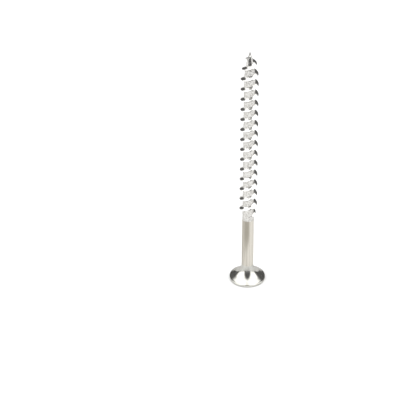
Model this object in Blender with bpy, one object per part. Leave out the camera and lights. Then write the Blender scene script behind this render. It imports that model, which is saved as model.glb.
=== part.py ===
"""A bugle-head wood screw in stainless steel, standing on its head with the tip up.

The real screw is one piece of cold-forged and thread-rolled wire. It is built here as four named
sections that meet face to face at flat planes: head, shank, threaded shank and point.
Units are metres, +Z is up, and the origin is the centre of the flat drive face.
"""

import math

import bmesh
import bpy
from mathutils import Vector

MM = 0.001

LENGTH = 63.5 * MM

# Head: an upright rim with rounded edges, then a flare that is a cone at the rim and curves
# inwards to end tangent to the shank. The flare's angle is the cone's, measured from the axis.
HEAD_RADIUS = 4.25 * MM
RIM_HEIGHT = 0.62 * MM
RIM_EDGE_RADIUS = 0.14 * MM
HEAD_HEIGHT = 4.2 * MM
FLARE_ANGLE = math.radians(60)

# Square drive recess, slightly tapered, with rounded corners and a flat floor.
RECESS_MOUTH_WIDTH = 2.85 * MM
RECESS_FLOOR_WIDTH = 2.65 * MM
RECESS_DEPTH = 1.9 * MM
RECESS_CORNER_RADIUS = 0.25 * MM
RECESS_OVERSHOOT = 0.5 * MM

# Smooth shank, and the short cone where it steps down to the root of the thread.
SHANK_RADIUS = 1.4 * MM
SHANK_END_HEIGHT = 17.2 * MM
ROOT_START_HEIGHT = 17.6 * MM

# Right-hand thread. Its heights are those of the middle of the ridge.
ROOT_RADIUS = 1.325 * MM
CREST_RADIUS = 2.1 * MM
PITCH = 2.76 * MM
CREST_HALF_WIDTH = 0.06 * MM
FLANK_SLOPE = math.tan(math.radians(30))
THREAD_START_HEIGHT = 18.2 * MM
THREAD_END_HEIGHT = 62.8 * MM
THREAD_START_ANGLE = math.radians(267)
RUN_OUT_TURNS = 0.7
RIDGE_LEAST_HEIGHT = 0.03 * MM

# Point: the core follows an ogive to the tip, and the ridge dies out just below it.
POINT_LENGTH = 8.0 * MM
RIDGE_FADE_LENGTH = 2.6 * MM

SEGMENTS = 48
FLARE_STEPS = 14
CORNER_STEPS = 4
SHARP_ANGLE = math.radians(35)


def clear_scene():
    for existing in list(bpy.data.objects):
        bpy.data.objects.remove(existing, do_unlink=True)


def steel(name, colour, roughness):
    material = bpy.data.materials.new(name)
    material.use_nodes = True
    shader = material.node_tree.nodes["Principled BSDF"]
    shader.inputs["Base Color"].default_value = (*colour, 1.0)
    shader.inputs["Metallic"].default_value = 1.0
    shader.inputs["Roughness"].default_value = roughness
    return material


def polished_steel():
    """The head's finish: smooth from the forging die and bright."""
    return steel("polished_steel", (0.82, 0.82, 0.81), 0.16)


def drawn_steel():
    """The shank's finish: the slightly warm satin of drawn wire."""
    return steel("drawn_steel", (0.74, 0.73, 0.70), 0.30)


def rolled_steel():
    """The thread's finish: bright, with the fine texture of the rolling die."""
    return steel("rolled_steel", (0.80, 0.80, 0.79), 0.24)


def point_steel():
    """The point's finish: as the thread, a little darker where it is pinched to the tip."""
    return steel("point_steel", (0.76, 0.76, 0.76), 0.22)


def add_object(name, mesh_builder, material):
    """Turn a finished bmesh into a smooth-shaded object and free it."""
    bmesh.ops.recalc_face_normals(mesh_builder, faces=mesh_builder.faces)
    for face in mesh_builder.faces:
        face.smooth = True
    mesh = bpy.data.meshes.new(name)
    mesh_builder.to_mesh(mesh)
    mesh_builder.free()
    mesh.set_sharp_from_angle(angle=SHARP_ANGLE)
    mesh.materials.append(material)
    part = bpy.data.objects.new(name, mesh)
    bpy.context.scene.collection.objects.link(part)
    return part


def direction(step):
    """Unit vector of one radial step, counted from the angle at which the thread starts."""
    angle = THREAD_START_ANGLE + 2 * math.pi * step / SEGMENTS
    return Vector((math.cos(angle), math.sin(angle), 0.0))


def add_ring(mesh_builder, radius, height):
    return [
        mesh_builder.verts.new(direction(step) * radius + Vector((0.0, 0.0, height)))
        for step in range(SEGMENTS)
    ]


def join_rings(mesh_builder, lower, upper):
    for step in range(len(lower)):
        following = (step + 1) % len(lower)
        mesh_builder.faces.new((lower[step], lower[following], upper[following], upper[step]))


def turned(profile):
    """A solid of revolution from (radius, height) pairs, closed by a flat cap at each end."""
    mesh_builder = bmesh.new()
    rings = [add_ring(mesh_builder, radius, height) for radius, height in profile]
    for lower, upper in zip(rings, rings[1:]):
        join_rings(mesh_builder, lower, upper)
    mesh_builder.faces.new(rings[0])
    mesh_builder.faces.new(rings[-1])
    return mesh_builder


def rim_profile():
    """The upright band of the rim, with a quarter round at the flat face and one under the flare."""
    points = []
    for step in range(CORNER_STEPS + 1):
        angle = math.pi / 2 * step / CORNER_STEPS
        radius = HEAD_RADIUS - RIM_EDGE_RADIUS * (1 - math.sin(angle))
        points.append((radius, RIM_EDGE_RADIUS * (1 - math.cos(angle))))
    upper_edge = [(radius, RIM_HEIGHT - height) for radius, height in reversed(points)]
    return points + upper_edge


def flare_profile():
    """A cone up from the rim, then the concave arc that ends tangent to the shank."""
    inward = HEAD_RADIUS - RIM_EDGE_RADIUS - SHANK_RADIUS
    upward = HEAD_HEIGHT - RIM_HEIGHT
    arc_width_per_radius = 1 - math.cos(FLARE_ANGLE)
    arc_height_per_radius = math.sin(FLARE_ANGLE)
    cone_steepness = 1 / math.tan(FLARE_ANGLE)
    arc_radius = (upward - inward * cone_steepness) / (
        arc_height_per_radius - arc_width_per_radius * cone_steepness
    )
    points = []
    for step in range(FLARE_STEPS + 1):
        angle = FLARE_ANGLE * (1 - step / FLARE_STEPS)
        radius = SHANK_RADIUS + arc_radius * (1 - math.cos(angle))
        points.append((radius, HEAD_HEIGHT - arc_radius * math.sin(angle)))
    return points


def recess_outline(width, height):
    """A square of the given width with rounded corners, as points at one height."""
    middle = width / 2 - RECESS_CORNER_RADIUS
    outline = []
    for corner in range(4):
        turn = math.pi / 2 * corner
        centre = Vector((math.cos(turn + math.pi / 4), math.sin(turn + math.pi / 4), 0.0))
        centre *= middle * math.sqrt(2)
        for step in range(CORNER_STEPS + 1):
            angle = turn + math.pi / 2 * step / CORNER_STEPS
            rounding = Vector((math.cos(angle), math.sin(angle), 0.0)) * RECESS_CORNER_RADIUS
            outline.append(centre + rounding + Vector((0.0, 0.0, height)))
    return outline


def recess_cutter():
    """The space of the drive recess, carried on past the face so that it cuts cleanly."""
    taper = (RECESS_FLOOR_WIDTH - RECESS_MOUTH_WIDTH) / RECESS_DEPTH
    outer_width = RECESS_MOUTH_WIDTH - taper * RECESS_OVERSHOOT
    mesh_builder = bmesh.new()
    loops = []
    for width, height in ((outer_width, -RECESS_OVERSHOOT), (RECESS_FLOOR_WIDTH, RECESS_DEPTH)):
        loops.append([mesh_builder.verts.new(point) for point in recess_outline(width, height)])
    join_rings(mesh_builder, *loops)
    mesh_builder.faces.new(loops[0])
    mesh_builder.faces.new(loops[1])
    return mesh_builder


def cut_with(part, cutter):
    cutter.hide_render = True
    cutter.display_type = "WIRE"
    boolean = part.modifiers.new("drive_recess", "BOOLEAN")
    boolean.operation = "DIFFERENCE"
    boolean.solver = "EXACT"
    boolean.object = cutter


def head():
    finish = polished_steel()
    part = add_object("head", turned(rim_profile() + flare_profile()), finish)
    cut_with(part, add_object("recess_cutter", recess_cutter(), finish))


def shank():
    profile = [(SHANK_RADIUS, HEAD_HEIGHT), (SHANK_RADIUS, SHANK_END_HEIGHT)]
    add_object("shank", turned(profile), drawn_steel())


def ogive(fraction):
    """Share of the full radius at a share of the way from the tip, full at 1 and beyond."""
    return 1 - (1 - min(max(fraction, 0.0), 1.0)) ** 2


def core_radius(height):
    return ROOT_RADIUS * ogive((LENGTH - height) / POINT_LENGTH)


def ridge_height(height):
    """How far the ridge stands out of the core: it grows at the run-out and fades at the tip."""
    growth = ogive((height - THREAD_START_HEIGHT) / (PITCH * RUN_OUT_TURNS))
    fade = ogive((THREAD_END_HEIGHT - height) / RIDGE_FADE_LENGTH)
    return max((CREST_RADIUS - ROOT_RADIUS) * min(growth, fade), RIDGE_LEAST_HEIGHT)


def ridge_section(mesh_builder, step):
    """The ridge's four profile points at one step: lower root, lower crest, upper crest, upper root."""
    height = THREAD_START_HEIGHT + PITCH * step / SEGMENTS
    out = ridge_height(height)
    base_half_width = CREST_HALF_WIDTH + FLANK_SLOPE * out
    section = []
    for offset, stand_out in (
        (-base_half_width, 0.0),
        (-CREST_HALF_WIDTH, out),
        (CREST_HALF_WIDTH, out),
        (base_half_width, 0.0),
    ):
        level = height + offset
        radius = core_radius(level) + stand_out
        section.append(mesh_builder.verts.new(direction(step) * radius + Vector((0.0, 0.0, level))))
    return section


def wind_ridge(mesh_builder, sections):
    """The flanks and crest along the helix, the root between turns, and the ridge's two ends."""
    for step, (here, following) in enumerate(zip(sections, sections[1:])):
        for low in range(3):
            mesh_builder.faces.new((here[low], following[low], following[low + 1], here[low + 1]))
        if step + SEGMENTS + 1 < len(sections):
            above = sections[step + SEGMENTS]
            above_following = sections[step + SEGMENTS + 1]
            mesh_builder.faces.new((here[3], following[3], above_following[0], above[0]))
    mesh_builder.faces.new(sections[0])
    mesh_builder.faces.new(sections[-1])


def close_below(mesh_builder, sections):
    """The step down from the shank, joined to the first turn of the ridge."""
    shank_ring = add_ring(mesh_builder, SHANK_RADIUS, SHANK_END_HEIGHT)
    root_ring = add_ring(mesh_builder, ROOT_RADIUS, ROOT_START_HEIGHT)
    mesh_builder.faces.new(shank_ring)
    join_rings(mesh_builder, shank_ring, root_ring)
    for step in range(SEGMENTS - 1):
        edge = (sections[step + 1][0], sections[step][0])
        mesh_builder.faces.new((root_ring[step], root_ring[step + 1], *edge))
    start = sections[0]
    last_edge = (start[0], start[3], sections[SEGMENTS][0], sections[SEGMENTS - 1][0])
    mesh_builder.faces.new((root_ring[-1], root_ring[0], *last_edge))


def close_above(mesh_builder, sections):
    """The bare tip above the last turn of the ridge."""
    tip = mesh_builder.verts.new((0.0, 0.0, LENGTH))
    last_turn = sections[-SEGMENTS - 1 :]
    for here, following in zip(last_turn[1:], last_turn[2:]):
        mesh_builder.faces.new((here[3], following[3], tip))
    end = last_turn[-1]
    mesh_builder.faces.new((last_turn[0][3], last_turn[1][3], tip, end[3], end[0]))


def threaded_length():
    """The whole thread, from the end of the smooth shank to the tip, as one closed surface."""
    mesh_builder = bmesh.new()
    turns = (THREAD_END_HEIGHT - THREAD_START_HEIGHT) / PITCH
    steps = round(turns * SEGMENTS)
    sections = [ridge_section(mesh_builder, step) for step in range(steps + 1)]
    wind_ridge(mesh_builder, sections)
    close_below(mesh_builder, sections)
    close_above(mesh_builder, sections)
    bmesh.ops.recalc_face_normals(mesh_builder, faces=mesh_builder.faces)
    bmesh.ops.triangulate(mesh_builder, faces=mesh_builder.faces)
    return mesh_builder


def keep_one_side(mesh_builder, height, above):
    """Cut the closed surface at a level plane, keep one side, and close the cut with a flat face."""
    everything = [*mesh_builder.verts, *mesh_builder.edges, *mesh_builder.faces]
    cut = bmesh.ops.bisect_plane(
        mesh_builder,
        geom=everything,
        plane_co=(0.0, 0.0, height),
        plane_no=(0.0, 0.0, 1.0),
        clear_inner=above,
        clear_outer=not above,
    )
    outline = [item for item in cut["geom_cut"] if isinstance(item, bmesh.types.BMEdge)]
    bmesh.ops.contextual_create(mesh_builder, geom=outline)
    return mesh_builder


def threaded_shank():
    section = keep_one_side(threaded_length(), LENGTH - POINT_LENGTH, above=False)
    add_object("threaded_shank", section, rolled_steel())


def point():
    section = keep_one_side(threaded_length(), LENGTH - POINT_LENGTH, above=True)
    add_object("point", section, point_steel())


clear_scene()
head()
shank()
threaded_shank()
point()
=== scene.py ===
"""The looks of the wood screw: fine meshes and steel finishes for each CAD node, and a white studio.

Units are metres in the CAD's frame: +Z up, the screw standing on its head at the origin.
"""

import math

import bmesh
import bpy
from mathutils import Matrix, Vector, noise


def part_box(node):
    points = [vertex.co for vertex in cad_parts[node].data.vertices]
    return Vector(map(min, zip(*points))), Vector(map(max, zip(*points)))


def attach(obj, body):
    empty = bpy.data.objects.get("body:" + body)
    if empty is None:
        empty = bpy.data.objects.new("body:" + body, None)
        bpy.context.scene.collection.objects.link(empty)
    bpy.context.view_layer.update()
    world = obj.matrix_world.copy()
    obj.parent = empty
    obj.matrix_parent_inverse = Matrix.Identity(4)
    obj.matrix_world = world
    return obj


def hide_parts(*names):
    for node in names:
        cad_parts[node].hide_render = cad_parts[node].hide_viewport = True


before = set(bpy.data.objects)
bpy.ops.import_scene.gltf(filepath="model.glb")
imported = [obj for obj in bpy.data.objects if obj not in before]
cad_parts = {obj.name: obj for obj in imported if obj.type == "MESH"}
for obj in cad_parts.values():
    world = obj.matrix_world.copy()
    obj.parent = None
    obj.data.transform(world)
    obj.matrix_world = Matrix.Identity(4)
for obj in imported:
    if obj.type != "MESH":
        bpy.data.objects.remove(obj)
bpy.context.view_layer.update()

MM = 0.001

# Sizes read from the CAD model, whose boxes are pairs of a lowest and a highest corner.
HEAD_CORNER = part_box("head")[1]
SHANK_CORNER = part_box("shank")[1]
POINT_START, POINT_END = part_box("point")
HEAD_RADIUS = HEAD_CORNER.x
HEAD_HEIGHT = HEAD_CORNER.z
SHANK_RADIUS = SHANK_CORNER.x
SHANK_END_HEIGHT = SHANK_CORNER.z
POINT_START_HEIGHT = POINT_START.z
LENGTH = POINT_END.z

# The design's other dimensions, as in the CAD model.
RIM_HEIGHT = 0.62 * MM
RIM_EDGE_RADIUS = 0.14 * MM
FLARE_ANGLE = math.radians(60)
RECESS_MOUTH_WIDTH = 2.85 * MM
RECESS_FLOOR_WIDTH = 2.65 * MM
RECESS_DEPTH = 1.9 * MM
RECESS_CORNER_RADIUS = 0.25 * MM
ROOT_RADIUS = 1.325 * MM
CREST_RADIUS = 2.1 * MM
PITCH = 2.76 * MM
CREST_HALF_WIDTH = 0.06 * MM
FLANK_SLOPE = math.tan(math.radians(30))
THREAD_START_HEIGHT = 18.2 * MM
THREAD_END_HEIGHT = 62.8 * MM
THREAD_START_ANGLE = math.radians(267)
RUN_OUT_TURNS = 0.7
RIDGE_FADE_LENGTH = 2.6 * MM

# Detail that only the visual model has. The size of a dent or wave is that of its noise pattern.
ROOT_STEP_LENGTH = 0.8 * MM
ROOT_FILLET = 0.14 * MM
RECESS_LEAD_IN = 0.06 * MM
RECESS_FLOOR_ROUND = 0.10 * MM
PUNCH_MARK_DEPTH = 0.12 * MM
PUNCH_MARK_RADIUS = 0.45 * MM
ROLLING_DENT_DEPTH = 0.018 * MM
ROLLING_DENT_SIZE = 0.22 * MM
CREST_WAVE_DEPTH = 0.020 * MM
CREST_WAVE_SIZE = 1.1 * MM

# Steel reflects a little less in a shallow view, just before the very edge.
GRAZING_TINT = (0.66, 0.65, 0.64)

HEAD_SEGMENTS = 192
SHANK_SEGMENTS = 128
SHANK_RINGS = 60
TURN_SEGMENTS = 120
ROOT_STEPS = 9
FLARE_STEPS = 36
CONE_STEPS = 6
ARC_STEPS = 8
# Helix steps are wound from this many turns below the shank's end to this many past the tip.
TURNS_BEFORE_START = 1.5
TURNS_PAST_TIP = 0.5
SHARP_ANGLE = math.radians(40)
MERGE_DISTANCE = 1e-8

# Camera: a long lens, at a distance and an aim given as shares of the screw's length.
CAMERA_ELEVATION = math.radians(34.8)
CAMERA_LENS = 241.0
CAMERA_SENSOR = 36.0
CAMERA_DISTANCE = 10.54
CAMERA_AIM = (-0.1785, 0.511, 0.0)

# Studio: the white sheet's reach from the screw, and the planes that bound each side panel. Each
# plane is given by the direction in which it faces the panel's middle: front edge, then back edge.
SHEET_FRONT = 0.22
SHEET_BACK = 0.25
SHEET_SIDE = 0.8
LEFT_PANEL_EDGES = ((-0.707, 0.672, 0.218), (-0.490, -0.858, 0.158))
RIGHT_PANEL_EDGES = ((0.707, 0.672, 0.218), (0.199, -0.931, 0.306))
PANEL_BRIGHTNESS = 2.0
CEILING_BRIGHTNESS = 2.0
TABLE_BRIGHTNESS = 0.75
DARK_ROOM_BRIGHTNESS = 0.15


# ---------------------------------------------------------------- meshes


def add_piece(name, mesh_builder, material, node):
    """Make the piece that stands for one CAD node, with its finish."""
    bmesh.ops.recalc_face_normals(mesh_builder, faces=mesh_builder.faces)
    for face in mesh_builder.faces:
        face.smooth = True
    mesh = bpy.data.meshes.new(name)
    mesh_builder.to_mesh(mesh)
    mesh_builder.free()
    mesh.set_sharp_from_angle(angle=SHARP_ANGLE)
    mesh.materials.append(material)
    piece = bpy.data.objects.new(name, mesh)
    bpy.context.scene.collection.objects.link(piece)
    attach(piece, "root")
    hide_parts(node)


def outward(angle):
    return Vector((math.cos(angle), math.sin(angle), 0.0))


def stack_rings(mesh_builder, rings):
    """Join closed rings of equal length into one surface, and close both ends."""
    for lower, upper in zip(rings, rings[1:]):
        for step in range(len(lower)):
            following = (step + 1) % len(lower)
            mesh_builder.faces.new((lower[step], lower[following], upper[following], upper[step]))
    mesh_builder.faces.new(rings[0])
    mesh_builder.faces.new(rings[-1])


def add_ring(mesh_builder, radius_at, height, segments):
    """One ring of points, at a radius that may depend on the angle."""
    ring = []
    for step in range(segments):
        angle = 2 * math.pi * step / segments
        place = outward(angle) * radius_at(angle) + Vector((0, 0, height))
        ring.append(mesh_builder.verts.new(place))
    return ring


def circle(radius):
    return lambda angle: radius


def rounded_square(width):
    """Distance from the axis to a square with rounded corners, at any angle."""
    half = width / 2
    corner = half - RECESS_CORNER_RADIUS

    def radius_at(angle):
        turned = abs((angle + math.pi / 4) % (math.pi / 2) - math.pi / 4)
        side = half / math.cos(turned)
        if side * math.sin(turned) <= corner:
            return side
        across = math.cos(turned) * corner + math.sin(turned) * corner
        return across + math.sqrt(across**2 - 2 * corner**2 + RECESS_CORNER_RADIUS**2)

    return radius_at


def recess_rings():
    """The drive recess from the middle of its floor out to the edge of its mouth."""
    rings = []
    for step in range(1, ARC_STEPS + 1):
        share = step / ARC_STEPS
        depth = RECESS_DEPTH + PUNCH_MARK_DEPTH * 0.5 * (1 + math.cos(math.pi * share))
        rings.append((circle(PUNCH_MARK_RADIUS * share), depth))
    for step in range(ARC_STEPS + 1):
        angle = math.pi / 2 * step / ARC_STEPS
        width = RECESS_FLOOR_WIDTH - 2 * RECESS_FLOOR_ROUND * (1 - math.sin(angle))
        depth = RECESS_DEPTH - RECESS_FLOOR_ROUND * (1 - math.cos(angle))
        rings.append((rounded_square(width), depth))
    for step in range(ARC_STEPS + 1):
        angle = math.pi / 2 * step / ARC_STEPS
        width = RECESS_MOUTH_WIDTH + 2 * RECESS_LEAD_IN * (1 - math.cos(angle))
        rings.append((rounded_square(width), RECESS_LEAD_IN * (1 - math.sin(angle))))
    return rings


def rim_rings():
    """The flat face's outer edge, the upright band, and the edge under the flare."""
    edge = []
    for step in range(ARC_STEPS + 1):
        angle = math.pi / 2 * step / ARC_STEPS
        radius = HEAD_RADIUS - RIM_EDGE_RADIUS * (1 - math.sin(angle))
        edge.append((radius, RIM_EDGE_RADIUS * (1 - math.cos(angle))))
    upper_edge = [(radius, RIM_HEIGHT - height) for radius, height in reversed(edge)]
    return [(circle(radius), height) for radius, height in edge + upper_edge]


def flare_rings():
    """A cone up from the rim, then the concave arc that meets the shank tangentially."""
    cone_start = HEAD_RADIUS - RIM_EDGE_RADIUS
    inward = cone_start - SHANK_RADIUS
    upward = HEAD_HEIGHT - RIM_HEIGHT
    cone_steepness = 1 / math.tan(FLARE_ANGLE)
    arc_radius = (upward - inward * cone_steepness) / (
        math.sin(FLARE_ANGLE) - (1 - math.cos(FLARE_ANGLE)) * cone_steepness
    )
    arc_start = SHANK_RADIUS + arc_radius * (1 - math.cos(FLARE_ANGLE))
    rings = []
    for step in range(1, CONE_STEPS):
        radius = cone_start + (arc_start - cone_start) * step / CONE_STEPS
        rings.append((circle(radius), RIM_HEIGHT + (cone_start - radius) * cone_steepness))
    for step in range(FLARE_STEPS + 1):
        angle = FLARE_ANGLE * (1 - step / FLARE_STEPS)
        radius = SHANK_RADIUS + arc_radius * (1 - math.cos(angle))
        rings.append((circle(radius), HEAD_HEIGHT - arc_radius * math.sin(angle)))
    return rings


def head_mesh():
    mesh_builder = bmesh.new()
    sections = recess_rings() + rim_rings() + flare_rings()
    rings = []
    for radius_at, height in sections:
        rings.append(add_ring(mesh_builder, radius_at, height, HEAD_SEGMENTS))
    stack_rings(mesh_builder, rings)
    return mesh_builder


def shank_mesh():
    """The smooth shank; its drawing marks are in its finish."""
    mesh_builder = bmesh.new()
    rings = []
    for step in range(SHANK_RINGS + 1):
        height = HEAD_HEIGHT + (SHANK_END_HEIGHT - HEAD_HEIGHT) * step / SHANK_RINGS
        rings.append(add_ring(mesh_builder, circle(SHANK_RADIUS), height, SHANK_SEGMENTS))
    stack_rings(mesh_builder, rings)
    return mesh_builder


def ease(share):
    """A smooth step from 0 to 1."""
    share = min(max(share, 0.0), 1.0)
    return share * share * (3 - 2 * share)


def ogive(share):
    """Share of the full radius at a share of the way from the tip, full at 1 and beyond."""
    return 1 - (1 - min(max(share, 0.0), 1.0)) ** 2


def core_radius(height):
    root = ROOT_RADIUS * ogive((LENGTH - height) / (LENGTH - POINT_START_HEIGHT))
    step_down = 1 - ease((height - SHANK_END_HEIGHT) / ROOT_STEP_LENGTH)
    return root + (SHANK_RADIUS - ROOT_RADIUS) * step_down


def ridge_height(height):
    """How far the ridge stands out of the core: it grows at the run-out and fades at the tip."""
    growth = ogive((height - THREAD_START_HEIGHT) / (PITCH * RUN_OUT_TURNS))
    fade = ogive((THREAD_END_HEIGHT - height) / RIDGE_FADE_LENGTH)
    return (CREST_RADIUS - ROOT_RADIUS) * min(growth, fade)


def ridge_outline(full_height):
    """Half of the ridge's outline as (distance along the axis, height), from the root to the crest.

    A curved fillet leads into the straight flank, and the crest's edge is cut off a little.
    """
    base = CREST_HALF_WIDTH + FLANK_SLOPE * full_height
    fillet = min(ROOT_FILLET, full_height / 2)
    outline = [(base + ROOT_FILLET, 0.0)]
    for share in (0.35, 0.7, 1.0):
        along = base + ROOT_FILLET * (1 - share) ** 2 - FLANK_SLOPE * fillet * share**2
        outline.append((along, fillet * share**2))
    for share in (0.7, 0.96):
        along = CREST_HALF_WIDTH + FLANK_SLOPE * full_height * (1 - share)
        outline.append((along, full_height * share))
    outline.append((CREST_HALF_WIDTH * 0.55, full_height))
    return outline


def column_levels(height):
    """All points of one helix step, as (height, stand-out) pairs from one turn's root to the next."""
    half = ridge_outline(ridge_height(height))
    levels = [(height - along, out) for along, out in half]
    levels += [(height + along, out) for along, out in reversed(half)]
    root_start = levels[-1][0]
    turn_above = height + PITCH
    root_end = turn_above - ridge_outline(ridge_height(turn_above))[0][0]
    for step in range(1, ROOT_STEPS):
        levels.append((root_start + (root_end - root_start) * step / ROOT_STEPS, 0.0))
    return levels


def rolling_marks(place, out):
    """Small dents between the ridges, deeper where the thread begins, and slightly wavy crests."""
    smoothness, frequency_step, layers = 0.9, 2.1, 3
    grain = noise.fractal(place / ROLLING_DENT_SIZE, smoothness, frequency_step, layers)
    wave = noise.noise(place / CREST_WAVE_SIZE)
    on_ridge = min(out / (CREST_RADIUS - ROOT_RADIUS), 1.0)
    rolled = ease((place.z - SHANK_END_HEIGHT) / ROOT_STEP_LENGTH)
    beginning = 1 - ease((place.z - THREAD_START_HEIGHT) / PITCH)
    dent = ROLLING_DENT_DEPTH * (1 + beginning) * grain * (1 - on_ridge) ** 2
    return rolled * (dent - CREST_WAVE_DEPTH * abs(wave) * on_ridge)


def helix_point(angle, level, out):
    """A point of the thread's surface; everything past the end gathers at the tip."""
    level = min(level, LENGTH)
    core = core_radius(level)
    place = outward(angle) * (core + out) + Vector((0, 0, level))
    marks = rolling_marks(place, out) * min(core / ROOT_RADIUS, 1.0)
    return place + outward(angle) * marks


def thread_mesh():
    """The thread and point as one helical sweep that starts below the shank's end, still open there."""
    mesh_builder = bmesh.new()
    turns_below = (THREAD_START_HEIGHT - SHANK_END_HEIGHT) / PITCH + TURNS_BEFORE_START
    turns_above = (LENGTH - THREAD_START_HEIGHT) / PITCH + TURNS_PAST_TIP
    first = -round(TURN_SEGMENTS * turns_below)
    last = round(TURN_SEGMENTS * turns_above)
    columns = []
    for step in range(first, last + 1):
        angle = THREAD_START_ANGLE + 2 * math.pi * step / TURN_SEGMENTS
        height = THREAD_START_HEIGHT + PITCH * step / TURN_SEGMENTS
        places = [helix_point(angle, level, out) for level, out in column_levels(height)]
        columns.append([mesh_builder.verts.new(place) for place in places])
    for step, (here, following) in enumerate(zip(columns, columns[1:])):
        strip = list(zip(here, following))
        if step + TURN_SEGMENTS + 1 < len(columns):
            strip.append((columns[step + TURN_SEGMENTS][0], columns[step + TURN_SEGMENTS + 1][0]))
        for (low, low_next), (high, high_next) in zip(strip, strip[1:]):
            mesh_builder.faces.new((low, low_next, high_next, high))
    bmesh.ops.remove_doubles(mesh_builder, verts=mesh_builder.verts, dist=MERGE_DISTANCE)
    return mesh_builder


def keep_one_side(mesh_builder, height, above):
    """Cut at a level plane, keep one side, and close the cut with a flat face."""
    everything = [*mesh_builder.verts, *mesh_builder.edges, *mesh_builder.faces]
    cut = bmesh.ops.bisect_plane(
        mesh_builder,
        geom=everything,
        plane_co=(0.0, 0.0, height),
        plane_no=(0.0, 0.0, 1.0),
        clear_inner=above,
        clear_outer=not above,
    )
    outline = [item for item in cut["geom_cut"] if isinstance(item, bmesh.types.BMEdge)]
    bmesh.ops.contextual_create(mesh_builder, geom=outline)
    return mesh_builder


# ---------------------------------------------------------------- finishes


class Finish:
    """A steel finish: a Principled shader, and its noises in millimetres of the screw's own space.

    The first two limits of a ramp are noise values or distances in millimetres.
    """

    def __init__(self, name):
        self.material = bpy.data.materials.new(name)
        self.material.use_nodes = True
        self.tree = self.material.node_tree
        self.shader = self.tree.nodes["Principled BSDF"]
        self.shader.inputs["Metallic"].default_value = 1.0
        self.shader.inputs["Specular Tint"].default_value = (*GRAZING_TINT, 1.0)
        place = self.tree.nodes.new("ShaderNodeTexCoord").outputs["Object"]
        self.place = self.stretched(place, (1 / MM, 1 / MM, 1 / MM))

    def stretched(self, place, factors):
        node = self.tree.nodes.new("ShaderNodeVectorMath")
        node.operation = "MULTIPLY"
        self.tree.links.new(place, node.inputs[0])
        node.inputs[1].default_value = factors
        return node.outputs["Vector"]

    def grain(self, stretch, scale, detail=3.0):
        """Noise from 0 to 1 whose pattern is stretched by the given factors along X, Y and Z."""
        node = self.tree.nodes.new("ShaderNodeTexNoise")
        self.tree.links.new(self.stretched(self.place, stretch), node.inputs["Vector"])
        node.inputs["Scale"].default_value = scale
        node.inputs["Detail"].default_value = detail
        node.inputs["Roughness"].default_value = 0.55
        return node.outputs["Fac"]

    def rings(self, scale):
        """Noise that depends only on the distance from the axis and the height: turned marks."""
        apart = self.tree.nodes.new("ShaderNodeSeparateXYZ")
        self.tree.links.new(self.place, apart.inputs[0])
        together = self.tree.nodes.new("ShaderNodeCombineXYZ")
        self.tree.links.new(self.distance_from_axis(), together.inputs[0])
        self.tree.links.new(apart.outputs["Z"], together.inputs[2])
        node = self.tree.nodes.new("ShaderNodeTexNoise")
        self.tree.links.new(together.outputs[0], node.inputs["Vector"])
        node.inputs["Scale"].default_value = scale
        node.inputs["Detail"].default_value = 4.0
        return node.outputs["Fac"]

    def distance_along(self, x, y, z):
        """How far each point lies from the origin in the given direction."""
        node = self.tree.nodes.new("ShaderNodeVectorMath")
        node.operation = "DOT_PRODUCT"
        self.tree.links.new(self.place, node.inputs[0])
        node.inputs[1].default_value = (x, y, z)
        return node.outputs["Value"]

    def distance_from_axis(self):
        node = self.tree.nodes.new("ShaderNodeVectorMath")
        node.operation = "LENGTH"
        self.tree.links.new(self.stretched(self.place, (1, 1, 0)), node.inputs[0])
        return node.outputs["Value"]

    def ramp(self, value, low, high, to_low, to_high):
        """A value mapped smoothly from one range to another."""
        node = self.tree.nodes.new("ShaderNodeMapRange")
        node.interpolation_type = "SMOOTHSTEP"
        self.tree.links.new(value, node.inputs["Value"])
        node.inputs["From Min"].default_value = low
        node.inputs["From Max"].default_value = high
        node.inputs["To Min"].default_value = to_low
        node.inputs["To Max"].default_value = to_high
        return node.outputs["Result"]

    def colours(self, value, low_colour, high_colour):
        node = self.tree.nodes.new("ShaderNodeMix")
        node.data_type = "RGBA"
        self.tree.links.new(value, node.inputs["Factor"])
        node.inputs["A"].default_value = (*low_colour, 1.0)
        node.inputs["B"].default_value = (*high_colour, 1.0)
        self.tree.links.new(node.outputs["Result"], self.shader.inputs["Base Color"])

    def roughness(self, value):
        self.tree.links.new(value, self.shader.inputs["Roughness"])

    def towards(self, value, other, share):
        """A value moved by a share of the way to another; each may be a socket or a number."""
        node = self.tree.nodes.new("ShaderNodeMix")
        for name, given in (("Factor", share), ("A", value), ("B", other)):
            if isinstance(given, (int, float)):
                node.inputs[name].default_value = given
            else:
                self.tree.links.new(given, node.inputs[name])
        return node.outputs["Result"]

    def spread_across_turning(self, amount):
        """Blur reflections up and down the screw more than around it, as turned marks do."""
        around = self.tree.nodes.new("ShaderNodeTangent")
        around.direction_type = "RADIAL"
        around.axis = "Z"
        self.tree.links.new(around.outputs["Tangent"], self.shader.inputs["Tangent"])
        self.shader.inputs["Anisotropic"].default_value = amount
        self.shader.inputs["Anisotropic Rotation"].default_value = 0.25

    def bump(self, value, depth):
        """Bump of a given depth in metres."""
        node = self.tree.nodes.new("ShaderNodeBump")
        node.inputs["Strength"].default_value = 1.0
        node.inputs["Distance"].default_value = depth
        self.tree.links.new(value, node.inputs["Height"])
        self.tree.links.new(node.outputs["Normal"], self.shader.inputs["Normal"])


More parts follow.
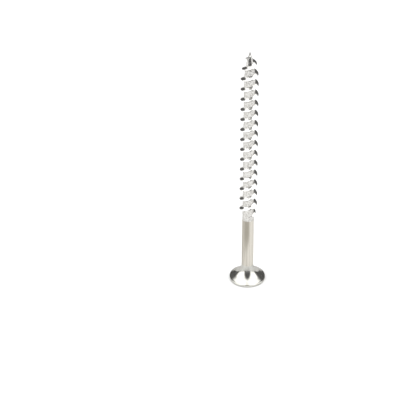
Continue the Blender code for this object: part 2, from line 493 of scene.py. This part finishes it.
def polished_steel():
    """The head: bright from the forging die, with fine turned marks, and duller towards the shank."""
    finish = Finish("polished_steel_finish")
    mottle = finish.ramp(finish.grain((1, 1, 1), 1.4), 0.35, 0.65, 0, 1)
    finish.colours(mottle, (0.52, 0.515, 0.475), (0.59, 0.585, 0.55))
    marks = finish.rings(9.0)
    near_shank = finish.ramp(finish.distance_along(0.0, 0.0, 1.0), 1.8, 3.6, 0, 1)
    turned_roughness = finish.ramp(marks, 0.3, 0.7, 0.10, 0.20)
    finish.roughness(finish.towards(turned_roughness, 0.28, near_shank))
    finish.bump(marks, 0.0015 * MM)
    finish.spread_across_turning(0.6)
    return finish.material


def drawn_steel():
    """The shank: satin and slightly warm, with lengthwise drawing marks, and a painted dark reflection
    on its front-left side, strongest above and fading out towards the head.
    """
    finish = Finish("drawn_steel_finish")
    broad = finish.grain((1, 1, 0.02), 1.1, detail=1.0)
    fine = finish.grain((1, 1, 0.012), 7.0, detail=3.0)
    streaks_and_painted_reflection = finish.towards(broad, fine, 0.5)
    # Painted dark reflection: the side facing front and left is darkened in the colour, strongest in
    # the upper part and fading out towards the head.
    front_left_painted_reflection = finish.ramp(finish.distance_along(-0.22, -0.975, 0.0), 1.08, 1.38, 0, 1)
    painted_reflection_upward_fade = finish.ramp(finish.distance_along(0.0, 0.0, 1.0), 6.0, 14.0, 0, 1)
    painted_reflection_mask = finish.towards(0.0, front_left_painted_reflection, painted_reflection_upward_fade)
    painted_reflection_darkest = 0.32
    streaks_and_painted_reflection = finish.towards(streaks_and_painted_reflection, painted_reflection_darkest, painted_reflection_mask)
    # The colour mixes the drawing marks with the painted dark reflection.
    marks_and_painted_reflection = finish.ramp(streaks_and_painted_reflection, 0.30, 0.53, 0, 1)
    finish.colours(marks_and_painted_reflection, (0.34, 0.315, 0.265), (0.66, 0.63, 0.565))
    finish.roughness(finish.ramp(fine, 0.3, 0.7, 0.22, 0.36))
    finish.bump(fine, 0.002 * MM)
    return finish.material


def thread_finish(name, dark_colour, light_colour):
    """Rolled steel: mottled at the root, and worn smooth and bright on the ridge."""
    finish = Finish(name)
    speckle = finish.grain((1, 1, 0.8), 3.2, detail=4.0)
    lightest = 0.58
    on_ridge = finish.ramp(finish.distance_from_axis(), 1.38, 1.62, 0, 1)
    mottle = finish.towards(speckle, lightest, on_ridge)
    finish.colours(finish.ramp(mottle, 0.40, 0.58, 0, 1), dark_colour, light_colour)
    finish.roughness(finish.ramp(mottle, 0.3, 0.6, 0.30, 0.12))
    finish.bump(mottle, 0.012 * MM)
    return finish.material


def rolled_steel():
    return thread_finish("rolled_steel_finish", (0.485, 0.47, 0.44), (0.73, 0.72, 0.695))


def point_steel():
    return thread_finish("point_steel_finish", (0.45, 0.44, 0.42), (0.70, 0.69, 0.67))


# ---------------------------------------------------------------- studio


def floor():
    """A white sheet that the screw stands on."""
    mesh = bpy.data.meshes.new("floor")
    corners = [
        (-SHEET_SIDE, -SHEET_FRONT, 0),
        (SHEET_SIDE, -SHEET_FRONT, 0),
        (SHEET_SIDE, SHEET_BACK, 0),
        (-SHEET_SIDE, SHEET_BACK, 0),
    ]
    mesh.from_pydata(corners, [], [(0, 1, 2, 3)])
    sheet = bpy.data.objects.new("floor", mesh)
    bpy.context.scene.collection.objects.link(sheet)
    material = bpy.data.materials.new("white_sheet")
    material.use_nodes = True
    shader = material.node_tree.nodes["Principled BSDF"]
    shader.inputs["Base Color"].default_value = (0.92, 0.92, 0.92, 1.0)
    shader.inputs["Roughness"].default_value = 0.9
    shader.inputs["Specular IOR Level"].default_value = 0.1
    mesh.materials.append(material)


class Sky:
    """The light around the screw, as a brightness for each direction."""

    def __init__(self):
        world = bpy.data.worlds.new("studio")
        bpy.context.scene.world = world
        world.use_nodes = True
        self.tree = world.node_tree
        self.background = self.tree.nodes["Background"]
        self.direction = self.tree.nodes.new("ShaderNodeTexCoord").outputs["Generated"]

    def towards(self, x, y, z):
        """How far each direction points towards the given one."""
        node = self.tree.nodes.new("ShaderNodeVectorMath")
        node.operation = "DOT_PRODUCT"
        self.tree.links.new(self.direction, node.inputs[0])
        node.inputs[1].default_value = (x, y, z)
        return node.outputs["Value"]

    def calculate(self, operation, first, second):
        node = self.tree.nodes.new("ShaderNodeMath")
        node.operation = operation
        for socket, value in zip(node.inputs, (first, second)):
            if isinstance(value, (int, float)):
                socket.default_value = value
            else:
                self.tree.links.new(value, socket)
        return node.outputs["Value"]

    def inside(self, first_edge, second_edge):
        """How far each direction lies inside the wedge between two planes that face the given ways."""
        return self.calculate("MINIMUM", self.towards(*first_edge), self.towards(*second_edge))

    def fade(self, value, low, high):
        """0 below low, 1 above high, smooth between."""
        node = self.tree.nodes.new("ShaderNodeMapRange")
        node.interpolation_type = "SMOOTHSTEP"
        self.tree.links.new(value, node.inputs["Value"])
        node.inputs["From Min"].default_value = low
        node.inputs["From Max"].default_value = high
        return node.outputs["Result"]


def studio_light():
    """Two white side panels, a white ceiling and a grey table behind; the rest of the room is dark.

    Whatever the screw reflects, the camera itself sees plain white behind it.
    """
    sky = Sky()
    left_panel = sky.inside(*LEFT_PANEL_EDGES)
    right_panel = sky.inside(*RIGHT_PANEL_EDGES)
    nearer_panel = sky.calculate("MAXIMUM", left_panel, right_panel)
    above_horizon = sky.fade(sky.towards(0.0, 0.0, 1.0), -0.05, 0.25)
    panels = sky.calculate("MULTIPLY", sky.fade(nearer_panel, -0.10, 0.20), above_horizon)
    panels = sky.calculate("MULTIPLY", panels, PANEL_BRIGHTNESS)
    overhead = sky.fade(sky.towards(0.0, 0.2, 1.0), 0.84, 1.0)
    ceiling = sky.calculate("MULTIPLY", overhead, CEILING_BRIGHTNESS)
    downwards = sky.fade(sky.towards(0.0, 0.0, -1.0), 0.0, 0.45)
    backwards = sky.fade(sky.towards(0.0, 1.0, 0.0), -0.2, 0.3)
    table = sky.calculate("MULTIPLY", downwards, backwards)
    table = sky.calculate("MULTIPLY", table, TABLE_BRIGHTNESS)
    brightest = sky.calculate("MAXIMUM", sky.calculate("MAXIMUM", ceiling, panels), table)
    level = sky.calculate("ADD", brightest, DARK_ROOM_BRIGHTNESS)
    seen = sky.tree.nodes.new("ShaderNodeLightPath").outputs["Is Camera Ray"]
    sky.tree.links.new(sky.calculate("MAXIMUM", level, seen), sky.background.inputs["Strength"])
    sky.background.inputs["Color"].default_value = (1.0, 1.0, 1.0, 1.0)


def camera():
    """A long lens from above, aimed past the screw so that it stands right of the middle."""
    lens = bpy.data.cameras.new("camera")
    lens.sensor_width = CAMERA_SENSOR
    lens.lens = CAMERA_LENS
    lens.clip_start = 0.01
    lens.clip_end = 20.0
    view = bpy.data.objects.new("camera", lens)
    bpy.context.scene.collection.objects.link(view)
    aim = Vector(CAMERA_AIM) * LENGTH
    towards_camera = Vector((0.0, -math.cos(CAMERA_ELEVATION), math.sin(CAMERA_ELEVATION)))
    view.location = aim + towards_camera * CAMERA_DISTANCE * LENGTH
    view.rotation_euler = (math.pi / 2 - CAMERA_ELEVATION, 0.0, 0.0)
    bpy.context.scene.camera = view


camera()
floor()
studio_light()
add_piece("bugle_head", head_mesh(), polished_steel(), "head")
add_piece("smooth_shank", shank_mesh(), drawn_steel(), "shank")
threads = keep_one_side(thread_mesh(), SHANK_END_HEIGHT, above=True)
threads = keep_one_side(threads, POINT_START_HEIGHT, above=False)
add_piece("rolled_thread", threads, rolled_steel(), "threaded_shank")
tip = keep_one_side(thread_mesh(), POINT_START_HEIGHT, above=True)
add_piece("threaded_point", tip, point_steel(), "point")
bpy.context.scene.view_settings.view_transform = "Standard"
